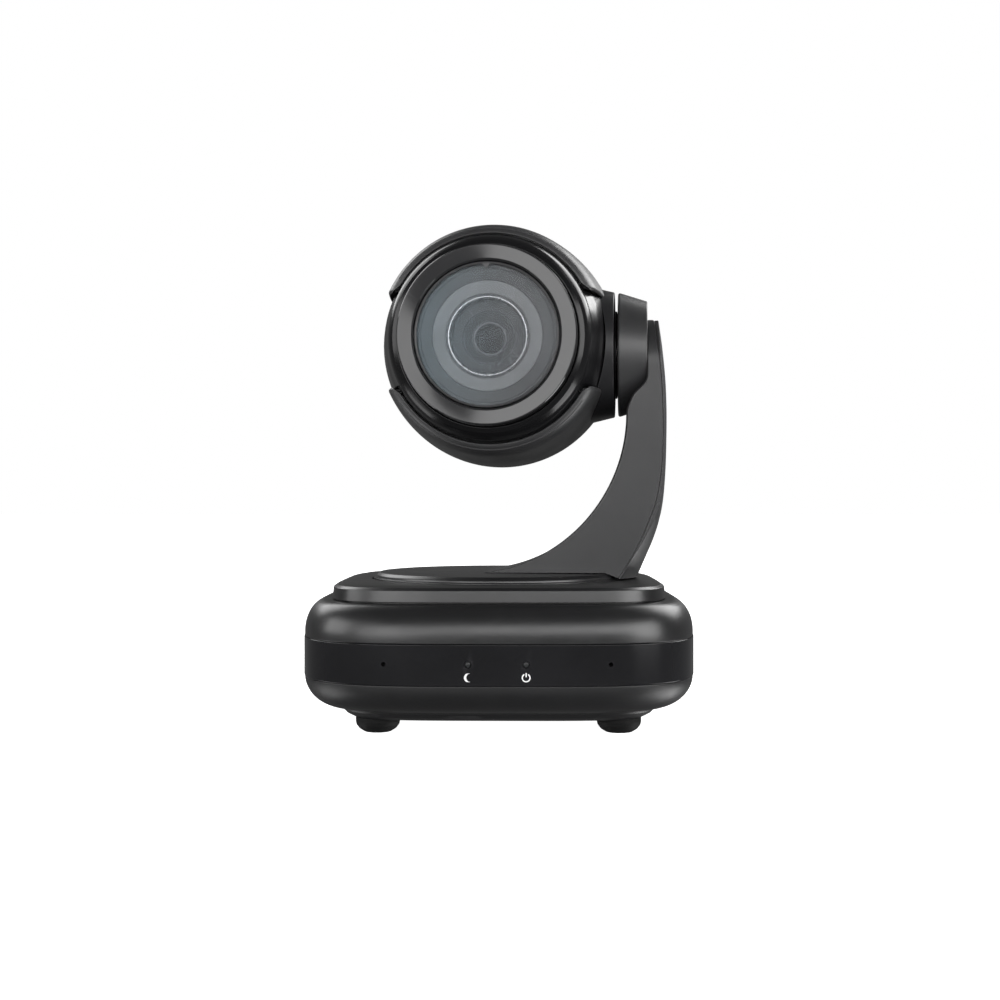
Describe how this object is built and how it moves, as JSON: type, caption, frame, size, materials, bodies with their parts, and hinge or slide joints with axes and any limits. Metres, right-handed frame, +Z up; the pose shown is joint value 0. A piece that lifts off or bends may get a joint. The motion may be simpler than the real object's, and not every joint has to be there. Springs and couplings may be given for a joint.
{
  "type": "ptz camera",
  "caption": "Pan-tilt-zoom conference camera: rounded-square base on feet, turntable with a curved arm, and a round tilting head with a large lens.",
  "frame": {"origin": "centre of the plane that the four rubber feet stand on, below the pan axis", "axes": "+Z up along the pan axis, -Y out of the base's front, +X to the viewer's right seen from the front"},
  "size_m": [0.12, 0.12, 0.1563],
  "materials": {
    "shell_matte": "fine moulded texture, matte black",
    "shell_lower": "satin moulded black",
    "band_gloss": "smoked dark band, semi-gloss",
    "foot_rubber": "matte rubber",
    "brass": "machined",
    "screw_steel": "black zinc",
    "circuit_board": "solder mask",
    "chip_black": "moulded epoxy",
    "plate_aluminium": "machined",
    "bearing_steel": "ground",
    "motor_steel": "zinc plated",
    "panel_matte": "fine texture",
    "port_black": "moulded nylon",
    "port_steel": "nickel plated",
    "light_pipe": "clear moulding, unlit",
    "cable_black": "vinyl",
    "gear_nylon": "natural nylon",
    "arm_matte": "fine moulded texture, matte black",
    "belt_rubber": "moulded rubber",
    "head_matte": "fine moulded texture, matte black",
    "body_gloss": "polished black",
    "neck_satin": "satin black",
    "ring_gloss": "polished black",
    "cover_glass": "coated glass",
    "lens_glass": "coated optical glass",
    "lens_satin": "satin lens housing"
  },
  "bodies": {
    "base": {"base_upper_shell": "shell_matte", "base_lower_shell": "shell_lower", "front_band": "band_gloss", "top_cover": "shell_matte", "bottom_plate": "shell_lower", "rubber_feet": "foot_rubber", "tripod_insert": "brass", "shell_screws": "screw_steel", "short_screws": "screw_steel", "main_board": "circuit_board", "board_chips": "chip_black", "board_standoffs": "brass", "chassis_plate": "plate_aluminium", "bearing_outer_race": "bearing_steel", "bearing_balls": "bearing_steel", "pan_motor": "motor_steel", "rear_panel": "panel_matte", "dc_jack": "port_black", "usb_port": "port_steel", "control_port": "port_black", "status_lenses": "light_pipe", "microphones": "chip_black", "base_cable": "cable_black"},
    "pan_drive": {"pan_pinion": "brass"},
    "arm": {"pan_shaft": "plate_aluminium", "pan_gear": "gear_nylon", "bearing_inner_race": "bearing_steel", "turntable": "shell_matte", "arm_frame": "arm_matte", "arm_side_cover": "arm_matte", "tilt_bush": "brass", "tilt_motor": "motor_steel", "tilt_belt": "belt_rubber", "arm_screws": "screw_steel", "arm_cable": "cable_black"},
    "tilt_drive": {"tilt_drive_pulley": "plate_aluminium"},
    "head": {"head_top_shell": "head_matte", "head_bottom_shell": "head_matte", "inner_body": "body_gloss", "neck_collar": "neck_satin", "tilt_shaft": "plate_aluminium", "tilt_pulley": "plate_aluminium", "lens_ring": "ring_gloss", "retaining_ring": "ring_gloss", "cover_glass": "cover_glass", "lens_face_ring": "lens_satin", "front_element": "lens_glass", "lens_barrel": "lens_satin", "guide_rods": "bearing_steel", "zoom_motor": "motor_steel", "focus_motor": "motor_steel", "sensor_board": "circuit_board", "head_screws": "screw_steel"},
    "zoom_group": {"zoom_carriage": "lens_satin", "zoom_lens": "lens_glass"},
    "focus_group": {"focus_carriage": "lens_satin", "focus_lens": "lens_glass"},
    "zoom_drive": {"zoom_screw": "screw_steel"},
    "focus_drive": {"focus_screw": "screw_steel"}
  },
  "joints": [
    {"name": "pan", "type": "hinge", "parent": "base", "child": "arm", "pos_m": [0, 0, 0.0436], "axis": [0, 0, 1], "range_deg": [-165, 175]},
    {"name": "pan_pinion_spin", "type": "hinge", "parent": "base", "child": "pan_drive", "pos_m": [0, 0.03, 0.026], "axis": [0, 0, 1], "range_deg": [-705, 665]},
    {"name": "tilt", "type": "hinge", "parent": "arm", "child": "head", "pos_m": [0, 0, 0.1156], "axis": [-0.9962, 0.0872, 0], "range_deg": [-30, 90]},
    {"name": "tilt_pulley_spin", "type": "hinge", "parent": "arm", "child": "tilt_drive", "pos_m": [0.04782, -0.00418, 0.07], "axis": [-0.9962, 0.0872, 0], "range_deg": [-65, 185]},
    {"name": "zoom", "type": "slide", "parent": "head", "child": "zoom_group", "axis": [-0.0872, -0.9962, 0], "range_m": [0, 0.008]},
    {"name": "zoom_screw_turn", "type": "hinge", "parent": "head", "child": "zoom_drive", "pos_m": [0.00354, -0.02039, 0.10882], "axis": [-0.0872, -0.9962, 0], "range_deg": [-5, 2885]},
    {"name": "focus", "type": "slide", "parent": "head", "child": "focus_group", "axis": [-0.0872, -0.9962, 0], "range_m": [-0.002, 0.004]},
    {"name": "focus_screw_turn", "type": "hinge", "parent": "head", "child": "focus_drive", "pos_m": [-0.00484, 0.00544, 0.10882], "axis": [-0.0872, -0.9962, 0], "range_deg": [-725, 1445]}
  ],
  "couplings": [
    {"joint": "pan_pinion_spin", "follows": "pan", "ratio": -4},
    {"joint": "tilt_pulley_spin", "follows": "tilt", "ratio": 2},
    {"joint": "zoom_screw_turn", "follows": "zoom", "rad_per_m": 6283.2},
    {"joint": "focus_screw_turn", "follows": "focus", "rad_per_m": 6283.2}
  ]
}
